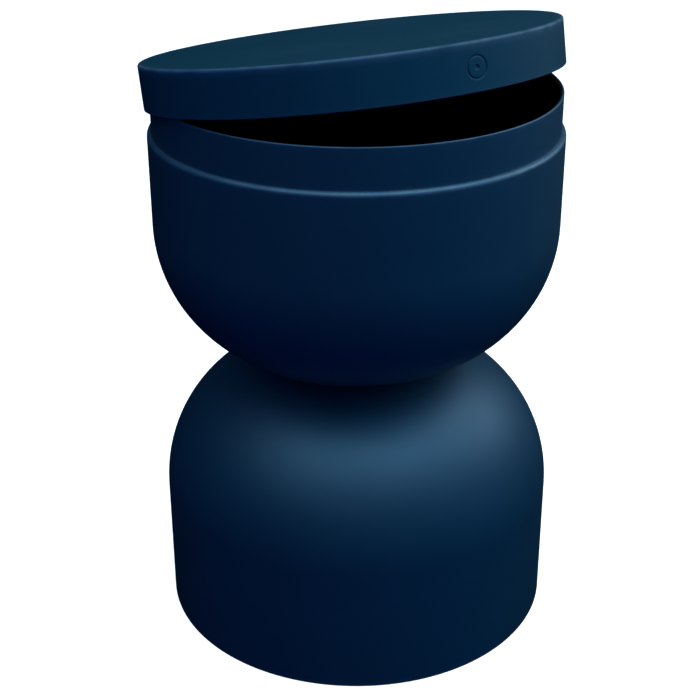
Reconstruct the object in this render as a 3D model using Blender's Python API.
"""Hourglass side table with a hinged storage lid.

Two spun bowls stand floor to floor. The lower one is the base, the upper one holds things, and a
flat cap with a deep skirt closes it. The cap swings on a friction hinge at the back and is modelled
ajar. Metres, +Z up. The floor is z = 0, the table's axis is the Z axis, the front faces -Y and the
hinge is at +Y.
"""
import math

import bmesh
import bpy
from mathutils import Matrix, Vector

# Gap that separate solids keep where they touch.
TOUCH = 0.0003

# Shells.
BODY_RADIUS = 0.180
SHELL_SHEET = 0.0020
DOME_RADIUS = 0.130
BOWL_HEIGHT = 0.2139
NECK_HEIGHT = 0.0345
NECK_PLAY = 0.0008
RIM_ROUND = 0.0008
BASE_HEIGHT = 0.2478
FOOT_LIFT = 0.0007
FOOT_ROUND = 0.0007

# Lid.
LID_SHEET = 0.0015
LID_GAP = 0.0005
LID_EDGE_ROUND = 0.0020
LID_HEM_ROUND = 0.0005
BUMPER_HEIGHT = 0.0021
BUMPER_INNER_LAP = 0.0031
BUMPER_OUTER_LAP = 0.0012
BOARD_THICKNESS = 0.0040
BOARD_PLAY = 0.0010
LINING_THICKNESS = 0.0010
LINING_MARGIN = 0.0020
LID_REST_ANGLE = math.radians(10.75)

# Hinge.
LEAF_WIDTH = 0.0592
LEAF_SHEET = 0.0016
LEAF_HEIGHT = 0.0260
LEAF_CLEAR = 0.0025
KNUCKLE_RADIUS = 0.0040
LID_KNUCKLE_LENGTH = 0.0280
PIN_RADIUS = 0.0020
PIN_PLAY = 0.00035
PIN_HEAD_RADIUS = 0.0030
PIN_HEAD_LENGTH = 0.0018
WASHER_THICKNESS = 0.0010
BACKING_SHEET = 0.0015
RIVET_RADIUS = 0.0017
RIVET_PLAY = 0.00035
RIVET_HEAD_RADIUS = 0.0036
RIVET_HEAD_HEIGHT = 0.0016
RIVET_TAIL_RADIUS = 0.0030
RIVET_TAIL_HEIGHT = 0.0008
RIVET_SPACING = 0.0400
RIVET_ROWS = (0.0060, 0.0190)

# Waist joint.
CLAMP_MARGIN = 0.0060
CLAMP_SHEET = 0.0030
BOLT_CIRCLE_SHARE = 0.6
BOLT_COUNT = 4
BOLT_RADIUS = 0.0030
BOLT_PLAY = 0.0004
BOLT_HEAD_RADIUS = 0.0050
BOLT_HEAD_HEIGHT = 0.0040
BOLT_END = 0.0024
WASHER_RADIUS = 0.0060
WASHER_SHEET = 0.0016
NUT_RADIUS = 0.0057
NUT_HEIGHT = 0.0050

# Bowl liner.
LINER_SHEET = 0.0010
LINER_CORNER_STEP = 0.0260
LINER_DROP = 0.0010
FLOOR_PAD_THICKNESS = 0.0020
FLOOR_PAD_MARGIN = 0.0020

# Base.
PAD_THICKNESS = 0.0030
PAD_MARGIN = 0.0040
BASE_PLATE_SHEET = 0.0030
BASE_RING_SHEET = 0.0020
BASE_RING_HEIGHT = 0.0200
BASE_RING_FLANGE = 0.0200
BASE_SCREW_COUNT = 4
BASE_SCREW_RADIUS = 0.0025
BASE_SCREW_PLAY = 0.00035
BASE_SCREW_HEAD_RADIUS = 0.0045
BASE_SCREW_HEAD_HEIGHT = 0.0020
BASE_SCREW_TIP = 0.0030
PAD_HOLE_PLAY = 0.0010

# Facets.
RING_STEPS = 64
DOME_STEPS = 7
ROUND_STEPS = 3
SMALL_RING_STEPS = 12
LEAF_STEPS = 10

# Heights above the floor.
WAIST_Z = FOOT_LIFT + BASE_HEIGHT
BOWL_FLOOR_Z = WAIST_Z + TOUCH / 2
BASE_TOP_Z = WAIST_Z - TOUCH / 2
SHOULDER_Z = BOWL_FLOOR_Z + BOWL_HEIGHT
RIM_Z = SHOULDER_Z + NECK_HEIGHT
LID_BOTTOM_Z = SHOULDER_Z + LID_GAP
LID_CEILING_Z = RIM_Z + TOUCH + BUMPER_HEIGHT + TOUCH
LID_TOP_Z = LID_CEILING_Z + LID_SHEET

# Hinge pin, and radii that follow from it.
PIN_Y = BODY_RADIUS + TOUCH + LEAF_SHEET + KNUCKLE_RADIUS
PIN_Z = LID_BOTTOM_Z
PIN = Vector((0.0, PIN_Y, PIN_Z))
LID_INNER_RADIUS = BODY_RADIUS - LID_SHEET
SWING_REACH = PIN_Y + LID_INNER_RADIUS
SWING_DROP = SWING_REACH - math.sqrt(SWING_REACH ** 2 - (RIM_Z - PIN_Z) ** 2)
NECK_INSET = LID_SHEET + SWING_DROP + NECK_PLAY
NECK_RADIUS = BODY_RADIUS - NECK_INSET
NECK_INNER_RADIUS = NECK_RADIUS - SHELL_SHEET
SHELL_INNER_RADIUS = BODY_RADIUS - SHELL_SHEET
FLAT_RADIUS = BODY_RADIUS - DOME_RADIUS
CLAMP_RADIUS = FLAT_RADIUS - CLAMP_MARGIN
BOLT_CIRCLE_RADIUS = FLAT_RADIUS * BOLT_CIRCLE_SHARE

NAVY = (0.010, 0.028, 0.052, 1.0)
BLACK = (0.004, 0.004, 0.005, 1.0)
STEEL = (0.42, 0.42, 0.43, 1.0)
DARK_STEEL = (0.06, 0.06, 0.07, 1.0)
BIRCH = (0.55, 0.40, 0.24, 1.0)
RUBBER = (0.015, 0.015, 0.016, 1.0)


# --- Outlines -------------------------------------------------------------------------------

def arc(centre, radius, start, end, steps):
    """Points along an arc in the outline plane, angles in degrees."""
    points = []
    for step in range(steps + 1):
        angle = math.radians(start + (end - start) * step / steps)
        points.append((centre[0] + radius * math.cos(angle), centre[1] + radius * math.sin(angle)))
    return points


def dome_arc(inset):
    """The round between floor and wall, floor first, for a surface this far inside the shell."""
    return arc((FLAT_RADIUS, DOME_RADIUS), DOME_RADIUS - inset, -90, 0, DOME_STEPS)


def bowl_outline():
    """The upper shell: floor, dome, wall, quarter-round shoulder, neck and rounded rim."""
    shoulder = (NECK_RADIUS, BOWL_HEIGHT - NECK_INSET)
    rim = BOWL_HEIGHT + NECK_HEIGHT
    outer_lip = (NECK_RADIUS - RIM_ROUND, rim - RIM_ROUND)
    inner_lip = (NECK_INNER_RADIUS + RIM_ROUND, rim - RIM_ROUND)
    inner_round = max(NECK_INSET - SHELL_SHEET, RIM_ROUND)
    inner_shoulder = (SHELL_INNER_RADIUS - inner_round, BOWL_HEIGHT - SHELL_SHEET - inner_round)
    outside = dome_arc(0.0) + arc(shoulder, NECK_INSET, 0, 90, ROUND_STEPS)
    outside += arc(outer_lip, RIM_ROUND, 0, 90, ROUND_STEPS)
    inside = arc(inner_lip, RIM_ROUND, 90, 180, ROUND_STEPS)
    inside += [(NECK_INNER_RADIUS, BOWL_HEIGHT - SHELL_SHEET)]
    inside += arc(inner_shoulder, inner_round, 90, 0, ROUND_STEPS)
    inside += reversed(dome_arc(SHELL_SHEET))
    return [(0.0, 0.0)] + outside + inside + [(0.0, SHELL_SHEET)]


def base_outline():
    """The lower shell, drawn the same way up as the bowl: floor, dome, wall and rounded edge."""
    outer_edge = (BODY_RADIUS - FOOT_ROUND, BASE_HEIGHT - FOOT_ROUND)
    inner_edge = (SHELL_INNER_RADIUS + FOOT_ROUND, BASE_HEIGHT - FOOT_ROUND)
    outside = dome_arc(0.0) + arc(outer_edge, FOOT_ROUND, 0, 90, ROUND_STEPS)
    inside = arc(inner_edge, FOOT_ROUND, 90, 180, ROUND_STEPS)
    inside += reversed(dome_arc(SHELL_SHEET))
    return [(0.0, 0.0)] + outside + inside + [(0.0, SHELL_SHEET)]


def liner_outline():
    """A tub that hangs straight down from the neck and rests on the dome, drawn from the floor up.

    Its corner is tighter than the dome by LINER_CORNER_STEP, and its floor is as low as the dome
    lets that corner go.
    """
    corner = DOME_RADIUS - LINER_CORNER_STEP
    radius = NECK_INNER_RADIUS - TOUCH
    reach = DOME_RADIUS - SHELL_SHEET - TOUCH - corner
    sideways = radius - FLAT_RADIUS - corner
    floor = DOME_RADIUS - corner - math.sqrt(reach ** 2 - sideways ** 2)
    top = BOWL_HEIGHT + NECK_HEIGHT - LINER_DROP
    centre = (radius - corner, floor + corner)
    outside = [(0.0, floor)] + arc(centre, corner, -90, 0, DOME_STEPS) + [(radius, top)]
    inner_radius = radius - LINER_SHEET
    inside = [(inner_radius, top)] + arc(centre, corner - LINER_SHEET, 0, -90, DOME_STEPS)
    return outside + inside + [(0.0, floor + LINER_SHEET)]


def lid_outline():
    """The cap from the middle of its top, over the edge and down the skirt, and back inside."""
    edge = (BODY_RADIUS - LID_EDGE_ROUND, LID_TOP_Z - LID_EDGE_ROUND)
    inner_round = max(LID_EDGE_ROUND - LID_SHEET, LID_HEM_ROUND)
    inner_edge = (LID_INNER_RADIUS - inner_round, LID_CEILING_Z - inner_round)
    outer_hem = (BODY_RADIUS - LID_HEM_ROUND, LID_BOTTOM_Z + LID_HEM_ROUND)
    inner_hem = (LID_INNER_RADIUS + LID_HEM_ROUND, LID_BOTTOM_Z + LID_HEM_ROUND)
    outside = [(0.0, LID_TOP_Z)] + arc(edge, LID_EDGE_ROUND, 90, 0, ROUND_STEPS)
    hem = arc(outer_hem, LID_HEM_ROUND, 0, -90, 1) + arc(inner_hem, LID_HEM_ROUND, -90, -180, 1)
    inside = arc(inner_edge, inner_round, 0, 90, 1) + [(0.0, LID_CEILING_Z)]
    return outside + hem + inside


def band(inner, outer, low, high):
    """A rectangle that turns into a ring, or into a disc when inner is 0."""
    return [(inner, low), (outer, low), (outer, high), (inner, high)]


def swing_out_radius(depth):
    """Largest disc under the lid that clears the bowl at the hinge, for its depth below the lid.

    Its rear lower edge turns about the pin and has to pass over the top of the liner and the rim.
    """
    across = PIN_Y - (NECK_INNER_RADIUS - TOUCH - LINER_SHEET)
    up = RIM_Z + BOARD_PLAY - PIN_Z
    height = LID_CEILING_Z - depth - PIN_Z
    return PIN_Y - math.sqrt(max(across ** 2 + up ** 2 - height ** 2, across ** 2))


# --- Solids ---------------------------------------------------------------------------------

def finish_mesh(mesh, solid):
    """Close a bmesh into its mesh, with its faces turned outwards."""
    bmesh.ops.remove_doubles(solid, verts=solid.verts, dist=1e-6)
    bmesh.ops.recalc_face_normals(solid, faces=solid.faces)
    solid.to_mesh(mesh)
    solid.free()
    return mesh


def turned(outline, steps=RING_STEPS, flip=False, height=0.0):
    """A closed solid turned about Z from an outline of (radius, height) points.

    flip turns the outline over, and height is where the outline's zero then stands.
    """
    side = -1.0 if flip else 1.0
    solid = bmesh.new()
    verts = [solid.verts.new((r, 0.0, height + side * z)) for r, z in outline]
    on_axis = outline[0][0] == 0.0 and outline[-1][0] == 0.0
    pairs = list(zip(verts, verts[1:]))
    if not on_axis:
        pairs.append((verts[-1], verts[0]))
    edges = [solid.edges.new(pair) for pair in pairs]
    bmesh.ops.spin(solid, geom=verts + edges, cent=(0, 0, 0), axis=(0, 0, 1), dvec=(0, 0, 0),
                   angle=math.tau, steps=steps, use_merge=True, use_duplicate=False)
    return finish_mesh(bpy.data.meshes.new("turned"), solid)


def extruded(points, low, high):
    """A prism between two heights over an outline of (x, y) points."""
    solid = bmesh.new()
    face = solid.faces.new([solid.verts.new((x, y, low)) for x, y in points])
    grown = bmesh.ops.extrude_face_region(solid, geom=[face])
    top = [item for item in grown["geom"] if isinstance(item, bmesh.types.BMVert)]
    bmesh.ops.translate(solid, verts=top, vec=(0.0, 0.0, high - low))
    return finish_mesh(bpy.data.meshes.new("extruded"), solid)


def rod(radius, low, high, steps=SMALL_RING_STEPS):
    """A plain cylinder on the Z axis."""
    return turned(band(0.0, radius, low, high), steps)


def moved(mesh, *transforms):
    """A copy of the mesh, moved by each transform in turn."""
    copy = mesh.copy()
    for transform in transforms:
        copy.transform(transform)
    return copy


def grouped(meshes):
    """One mesh that holds separate solids, to cut with."""
    solid = bmesh.new()
    for mesh in meshes:
        solid.from_mesh(mesh)
    joined = bpy.data.meshes.new("grouped")
    solid.to_mesh(joined)
    solid.free()
    return joined


def combined(mesh, tool, operation):
    """The exact Boolean of two meshes."""
    target = bpy.data.objects.new("target", mesh)
    other = bpy.data.objects.new("tool", tool)
    for item in (target, other):
        bpy.context.scene.collection.objects.link(item)
    modifier = target.modifiers.new("combine", "BOOLEAN")
    modifier.operation = operation
    modifier.solver = "EXACT"
    modifier.object = other
    graph = bpy.context.evaluated_depsgraph_get()
    result = bpy.data.meshes.new_from_object(target.evaluated_get(graph))
    for item in (target, other):
        bpy.data.objects.remove(item)
    return result


def around_z(angle):
    return Matrix.Rotation(angle, 4, "Z")


def shift(x=0.0, y=0.0, z=0.0):
    return Matrix.Translation((x, y, z))


def add_node(name, mesh, colour, roughness, metallic=0.0, parent=None):
    """Make the named object, with its own material, smooth where it is round."""
    material = bpy.data.materials.new(name)
    material.use_nodes = True
    shader = material.node_tree.nodes["Principled BSDF"]
    shader.inputs["Base Color"].default_value = colour
    shader.inputs["Roughness"].default_value = roughness
    shader.inputs["Metallic"].default_value = metallic
    mesh.name = name
    mesh.materials.clear()
    mesh.materials.append(material)
    mesh.shade_smooth()
    mesh.set_sharp_from_angle(angle=math.radians(35))
    node = bpy.data.objects.new(name, mesh)
    bpy.context.scene.collection.objects.link(node)
    if parent:
        node.data.transform(Matrix.Translation(-parent.location))
        node.parent = parent
    return node


def add_set(name, meshes, colour, roughness, metallic=0.0, parent=None):
    """Make one numbered node for each mesh of a set of like pieces."""
    for number, mesh in enumerate(meshes, start=1):
        add_node(f"{name}_{number}", mesh, colour, roughness, metallic, parent)


def on_circle(mesh, radius, count):
    """Copies of a mesh, evenly spaced on a circle about Z, the first half a step past +X."""
    step = math.tau / count
    return [moved(mesh, shift(x=radius), around_z(step * (place + 0.5)))
            for place in range(count)]


# --- Hinge pieces ---------------------------------------------------------------------------

def curved_plate(inner, outer, width, low, high):
    """A plate that follows a wall at +Y, centred on it."""
    half = math.degrees(math.asin(width / 2 / outer))
    face = arc((0.0, 0.0), outer, 90 - half, 90 + half, LEAF_STEPS)
    back = arc((0.0, 0.0), inner, 90 + half, 90 - half, LEAF_STEPS)
    return extruded(face + back, low, high)


def rivet_spots(direction):
    """Angle about Z, from +Y, and height of each rivet of the upper (+1) or lower (-1) leaf."""
    angle = math.asin(RIVET_SPACING / 2 / BODY_RADIUS)
    spots = []
    for row in RIVET_ROWS:
        for side in (-1, 1):
            spots.append((side * angle, PIN_Z + direction * (LEAF_CLEAR + row)))
    return spots


def radial(mesh, spots):
    """Copies of a mesh made along +Z, laid along the radius at each spot."""
    lie_down = Matrix.Rotation(math.radians(-90), 4, "X")
    return [moved(mesh, lie_down, shift(z=height), around_z(angle)) for angle, height in spots]


def rivets(direction, inside):
    """Round-headed rivets through a leaf and the wall, set against the radius called inside."""
    seat = BODY_RADIUS + TOUCH + LEAF_SHEET + TOUCH
    tail = inside - TOUCH
    outline = [(0.0, tail - RIVET_TAIL_HEIGHT), (RIVET_TAIL_RADIUS, tail - RIVET_TAIL_HEIGHT),
               (RIVET_TAIL_RADIUS, tail), (RIVET_RADIUS, tail), (RIVET_RADIUS, seat),
               (RIVET_HEAD_RADIUS, seat)]
    dome = arc((0.0, 0.0), 1.0, 30, 90, ROUND_STEPS)
    outline += [(RIVET_HEAD_RADIUS * x, seat + RIVET_HEAD_HEIGHT * z) for x, z in dome[:-1]]
    outline += [(0.0, seat + RIVET_HEAD_HEIGHT)]
    return radial(turned(outline, SMALL_RING_STEPS), rivet_spots(direction))


def drilled_for_rivets(mesh, direction):
    """The mesh with a clearance hole for each rivet of one leaf."""
    drill = rod(RIVET_RADIUS + RIVET_PLAY, BODY_RADIUS * 0.9, BODY_RADIUS * 1.1)
    return combined(mesh, grouped(radial(drill, rivet_spots(direction))), "DIFFERENCE")


def along_pin(mesh):
    """A mesh made along Z, laid along the hinge pin."""
    return moved(mesh, Matrix.Rotation(math.radians(90), 4, "Y"), Matrix.Translation(PIN))


def hinge_leaf(direction, knuckles):
    """A curved leaf above (+1) or below (-1) the pin, with a knuckle for each (start, end)."""
    inner = BODY_RADIUS + TOUCH
    near = PIN_Z + direction * LEAF_CLEAR
    far = near + direction * LEAF_HEIGHT
    leaf = curved_plate(inner, inner + LEAF_SHEET, LEAF_WIDTH, min(near, far), max(near, far))
    for start, end in knuckles:
        barrel = along_pin(rod(KNUCKLE_RADIUS, start, end))
        bridge_end = near + direction * LEAF_SHEET
        low, high = min(PIN_Z, bridge_end), max(PIN_Z, bridge_end)
        edges = [math.degrees(math.acos(x / inner)) for x in (start, end)]
        bridge = arc((0.0, 0.0), inner, edges[0], edges[1], ROUND_STEPS)
        bridge += [(end, PIN_Y), (start, PIN_Y)]
        leaf = combined(leaf, extruded(bridge, low, high), "UNION")
        leaf = combined(leaf, barrel, "UNION")
    bore = along_pin(rod(PIN_RADIUS + PIN_PLAY, -LEAF_WIDTH, LEAF_WIDTH))
    return drilled_for_rivets(combined(leaf, bore, "DIFFERENCE"), direction)


def hinge_pin():
    """The pin, with a head at each end."""
    reach = LEAF_WIDTH / 2 + TOUCH
    half = [(PIN_HEAD_RADIUS, reach), (PIN_HEAD_RADIUS, reach + PIN_HEAD_LENGTH)]
    outline = [(0.0, -half[1][1]), (half[1][0], -half[1][1]), (half[0][0], -half[0][1]),
               (PIN_RADIUS, -reach), (PIN_RADIUS, reach), half[0], half[1], (0.0, half[1][1])]
    return along_pin(turned(outline, SMALL_RING_STEPS))


def hinge_washers(start):
    """The friction washer between each pair of knuckles, from this distance off the middle."""
    ring = band(PIN_RADIUS + PIN_PLAY, KNUCKLE_RADIUS, start, start + WASHER_THICKNESS)
    washer = turned(ring, SMALL_RING_STEPS)
    return [along_pin(washer), along_pin(moved(washer, Matrix.Rotation(math.pi, 4, "Y")))]


# --- Assembly -------------------------------------------------------------------------------

def build_waist():
    """The two bowls' floors, clamped between steel plates by through bolts."""
    inner_face = SHELL_SHEET + TOUCH
    plate_top = BOWL_FLOOR_Z + inner_face + CLAMP_SHEET
    plate_foot = BASE_TOP_Z - inner_face - CLAMP_SHEET
    head_seat = plate_top + TOUCH
    washer_seat = plate_foot - TOUCH
    nut_seat = washer_seat - WASHER_SHEET - TOUCH
    bolt_foot = nut_seat - NUT_HEIGHT - BOLT_END
    bore = BOLT_RADIUS + BOLT_PLAY
    drill = rod(bore, BASE_TOP_Z - DOME_RADIUS, BOWL_FLOOR_Z + DOME_RADIUS)
    drills = grouped(on_circle(drill, BOLT_CIRCLE_RADIUS, BOLT_COUNT))

    bowl = turned(bowl_outline(), height=BOWL_FLOOR_Z)
    bowl = drilled_for_rivets(combined(bowl, drills, "DIFFERENCE"), -1)
    add_node("bowl_shell", bowl, NAVY, 0.55)
    base = turned(base_outline(), flip=True, height=BASE_TOP_Z)
    add_node("base_shell", combined(base, drills, "DIFFERENCE"), NAVY, 0.55)

    for name, foot in (("waist_plate_upper", plate_top - CLAMP_SHEET),
                       ("waist_plate_lower", plate_foot)):
        plate = turned(band(0.0, CLAMP_RADIUS, foot, foot + CLAMP_SHEET), 32)
        add_node(name, combined(plate, drills, "DIFFERENCE"), STEEL, 0.4, 1.0)

    head_top = head_seat + BOLT_HEAD_HEIGHT
    outline = [(0.0, bolt_foot), (BOLT_RADIUS, bolt_foot), (BOLT_RADIUS, head_seat),
               (BOLT_HEAD_RADIUS, head_seat), (BOLT_HEAD_RADIUS, head_top), (0.0, head_top)]
    bolt = turned(outline, SMALL_RING_STEPS)
    add_set("waist_bolt", on_circle(bolt, BOLT_CIRCLE_RADIUS, BOLT_COUNT), STEEL, 0.35, 1.0)
    washer = turned(band(bore, WASHER_RADIUS, washer_seat - WASHER_SHEET, washer_seat),
                    SMALL_RING_STEPS)
    add_set("waist_washer", on_circle(washer, BOLT_CIRCLE_RADIUS, BOLT_COUNT), STEEL, 0.4, 1.0)
    blank = rod(NUT_RADIUS, nut_seat - NUT_HEIGHT, nut_seat, 6)
    nut = combined(blank, rod(bore, nut_seat - 2 * NUT_HEIGHT, nut_seat + NUT_HEIGHT),
                   "DIFFERENCE")
    add_set("waist_nut", on_circle(nut, BOLT_CIRCLE_RADIUS, BOLT_COUNT), STEEL, 0.35, 1.0)


def build_liner():
    """The black tub inside the bowl and the felt disc on its floor."""
    outline = liner_outline()
    add_node("bowl_liner", turned(outline, height=BOWL_FLOOR_Z), BLACK, 0.95)
    floor = BOWL_FLOOR_Z + outline[-1][1] + TOUCH
    flat = outline[1][0] - FLOOR_PAD_MARGIN
    pad = turned(band(0.0, flat, floor, floor + FLOOR_PAD_THICKNESS), 48)
    add_node("bowl_floor_pad", pad, BLACK, 1.0)


def build_base():
    """The ring inside the base's edge, the plate screwed up to it and the pad it stands on."""
    plate_foot = PAD_THICKNESS + TOUCH
    ring_foot = plate_foot + BASE_PLATE_SHEET + TOUCH
    flange_top = ring_foot + BASE_RING_SHEET
    outer = SHELL_INNER_RADIUS - TOUCH
    flange_inner = outer - BASE_RING_FLANGE
    screw_circle = outer - BASE_RING_SHEET - (BASE_RING_FLANGE - BASE_RING_SHEET) / 2
    head_foot = PAD_THICKNESS - BASE_SCREW_HEAD_HEIGHT
    tip = flange_top + BASE_SCREW_TIP
    drill = rod(BASE_SCREW_RADIUS + BASE_SCREW_PLAY, 0.0, 2 * flange_top)
    drills = grouped(on_circle(drill, screw_circle, BASE_SCREW_COUNT))

    section = [(flange_inner, ring_foot), (outer, ring_foot),
               (outer, ring_foot + BASE_RING_HEIGHT),
               (outer - BASE_RING_SHEET, ring_foot + BASE_RING_HEIGHT),
               (outer - BASE_RING_SHEET, flange_top), (flange_inner, flange_top)]
    ring = combined(turned(section), drills, "DIFFERENCE")
    add_node("base_ring", ring, STEEL, 0.5, 1.0)
    plate = turned(band(0.0, outer, plate_foot, plate_foot + BASE_PLATE_SHEET))
    add_node("base_plate", combined(plate, drills, "DIFFERENCE"), DARK_STEEL, 0.5, 1.0)

    outline = [(0.0, head_foot), (BASE_SCREW_HEAD_RADIUS, head_foot),
               (BASE_SCREW_HEAD_RADIUS, PAD_THICKNESS), (BASE_SCREW_RADIUS, PAD_THICKNESS),
               (BASE_SCREW_RADIUS, tip), (0.0, tip)]
    screw = turned(outline, SMALL_RING_STEPS)
    add_set("base_screw", on_circle(screw, screw_circle, BASE_SCREW_COUNT), STEEL, 0.35, 1.0)

    hole = rod(BASE_SCREW_HEAD_RADIUS + PAD_HOLE_PLAY, -PAD_THICKNESS, 2 * PAD_THICKNESS)
    holes = grouped(on_circle(hole, screw_circle, BASE_SCREW_COUNT))
    pad = turned(band(0.0, outer - PAD_MARGIN, 0.0, PAD_THICKNESS))
    add_node("base_pad", combined(pad, holes, "DIFFERENCE"), RUBBER, 0.9)


def build_lid(axis):
    """The cap and what is fixed under it, made closed and carried by the hinge axis."""
    shell = drilled_for_rivets(turned(lid_outline()), 1)
    add_node("lid_shell", shell, NAVY, 0.5, parent=axis)

    bumper_inner = NECK_INNER_RADIUS - BUMPER_INNER_LAP
    bumper_outer = NECK_RADIUS + BUMPER_OUTER_LAP
    bumper_top = LID_CEILING_Z - TOUCH
    bumper = turned(band(bumper_inner, bumper_outer, bumper_top - BUMPER_HEIGHT, bumper_top))
    add_node("lid_bumper_ring", bumper, RUBBER, 0.9, parent=axis)

    board_depth = TOUCH + BOARD_THICKNESS
    board_radius = min(swing_out_radius(board_depth), bumper_inner - BOARD_PLAY)
    board_foot = LID_CEILING_Z - board_depth
    board = turned(band(0.0, board_radius, board_foot, board_foot + BOARD_THICKNESS))
    add_node("lid_board", board, BIRCH, 0.7, parent=axis)

    lining_depth = board_depth + TOUCH + LINING_THICKNESS
    lining_radius = min(swing_out_radius(lining_depth), board_radius - LINING_MARGIN)
    lining_foot = LID_CEILING_Z - lining_depth
    lining = turned(band(0.0, lining_radius, lining_foot, lining_foot + LINING_THICKNESS))
    add_node("lid_lining", lining, BLACK, 1.0, parent=axis)


def build_hinge(axis):
    """Two curved leaves on one pin, riveted to the lid's skirt and to the bowl's wall."""
    middle = LID_KNUCKLE_LENGTH / 2
    washer_start = middle + TOUCH
    side_start = washer_start + WASHER_THICKNESS + TOUCH
    side_end = LEAF_WIDTH / 2

    add_node("hinge_lid_leaf", hinge_leaf(1, [(-middle, middle)]), NAVY, 0.45, parent=axis)
    add_set("hinge_lid_rivet", rivets(1, LID_INNER_RADIUS), STEEL, 0.4, 1.0, parent=axis)
    body_leaf = hinge_leaf(-1, [(-side_end, -side_start), (side_start, side_end)])
    add_node("hinge_body_leaf", body_leaf, NAVY, 0.45)
    add_node("hinge_pin", hinge_pin(), STEEL, 0.3, 1.0)
    add_set("hinge_washer", hinge_washers(washer_start), BLACK, 0.6)

    plate_outer = SHELL_INNER_RADIUS - TOUCH
    plate_inner = plate_outer - BACKING_SHEET
    top = PIN_Z - LEAF_CLEAR
    plate = curved_plate(plate_inner, plate_outer, LEAF_WIDTH, top - LEAF_HEIGHT,
                         min(top, SHOULDER_Z - NECK_INSET))
    add_node("hinge_backing_plate", drilled_for_rivets(plate, -1), STEEL, 0.5, 1.0)
    add_set("hinge_body_rivet", rivets(-1, plate_inner), STEEL, 0.4, 1.0)


def main():
    for item in list(bpy.data.objects):
        bpy.data.objects.remove(item)
    build_waist()
    build_liner()
    build_base()

    axis = bpy.data.objects.new("lid_hinge_axis", None)
    bpy.context.scene.collection.objects.link(axis)
    axis.location = PIN
    axis.rotation_euler = (-LID_REST_ANGLE, 0.0, 0.0)
    build_lid(axis)
    build_hinge(axis)


main()
